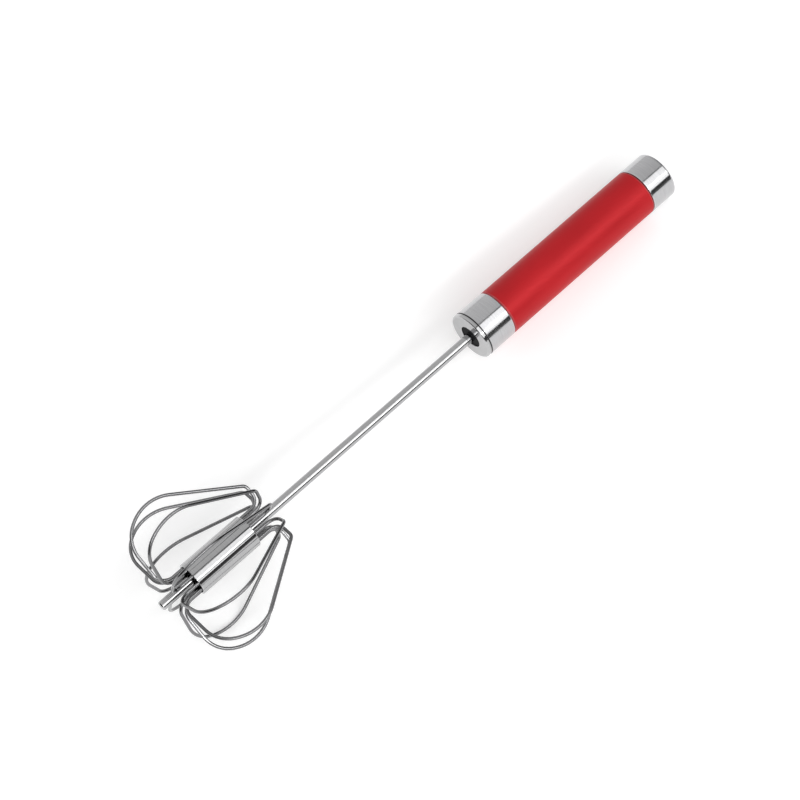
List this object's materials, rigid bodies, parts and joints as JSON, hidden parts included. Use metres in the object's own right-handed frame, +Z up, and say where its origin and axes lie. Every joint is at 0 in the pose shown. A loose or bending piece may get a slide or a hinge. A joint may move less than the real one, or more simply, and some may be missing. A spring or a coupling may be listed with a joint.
{
  "type": "push-down rotary whisk",
  "caption": "Push-down rotary whisk with a red sleeve grip, a long steel shaft and a head of wire loops that spins when the handle is pressed.",
  "frame": {"origin": "bottom centre of the bounding box, on the table that the whisk lies on", "axes": "+X from the shaft's tip to the handle's end, which lies 4.90 degrees nose-down towards the handle; +Z up; Y across, the whisk is symmetric about the XZ plane"},
  "size_m": [0.298, 0.0734, 0.0697],
  "materials": {
    "red_grip": "satin red",
    "polished_steel": "polished, faintly brushed",
    "wire_steel": "bright drawn wire",
    "inner_steel": "plain, oiled",
    "nylon": "moulded black",
    "soft_rubber": "dull",
    "brass": "turned"
  },
  "bodies": {
    "handle": {"grip": "red_grip", "core_tube": "inner_steel", "front_ferrule": "polished_steel", "end_plug": "polished_steel", "rear_ferrule": "polished_steel", "guide_bush": "nylon", "stop_washer": "soft_rubber", "top_plug": "nylon", "drive_strip": "inner_steel", "strip_pin": "inner_steel"},
    "carrier": {"spring_seat": "nylon", "thrust_washer": "brass", "return_spring": "inner_steel"},
    "whisk": {"shaft_tube": "polished_steel", "tip_plug": "polished_steel", "drive_nut": "brass", "stop_collar": "inner_steel", "head_sleeve": "polished_steel", "head_core": "inner_steel", "wire_01": "wire_steel", "wire_02": "wire_steel", "wire_03": "wire_steel", "wire_04": "wire_steel", "wire_05": "wire_steel", "wire_06": "wire_steel", "wire_07": "wire_steel", "wire_08": "wire_steel", "wire_09": "wire_steel", "wire_10": "wire_steel"}
  },
  "joints": [
    {"name": "press_slide", "type": "slide", "parent": "handle", "child": "carrier", "axis": [0.9964, 0, -0.0853], "range_m": [0, 0.04], "stiffness_N_per_m": 180, "springref_m": -0.012, "deforming": ["return_spring"]},
    {"name": "whisk_spin", "type": "hinge", "parent": "carrier", "child": "whisk", "pos_m": [-0.04919, 0, 0.02822], "axis": [0.9964, 0, -0.0853], "range_deg": [-5, 605]}
  ],
  "couplings": [
    {"joint": "whisk_spin", "follows": "press_slide", "rad_per_m": 261.8}
  ]
}
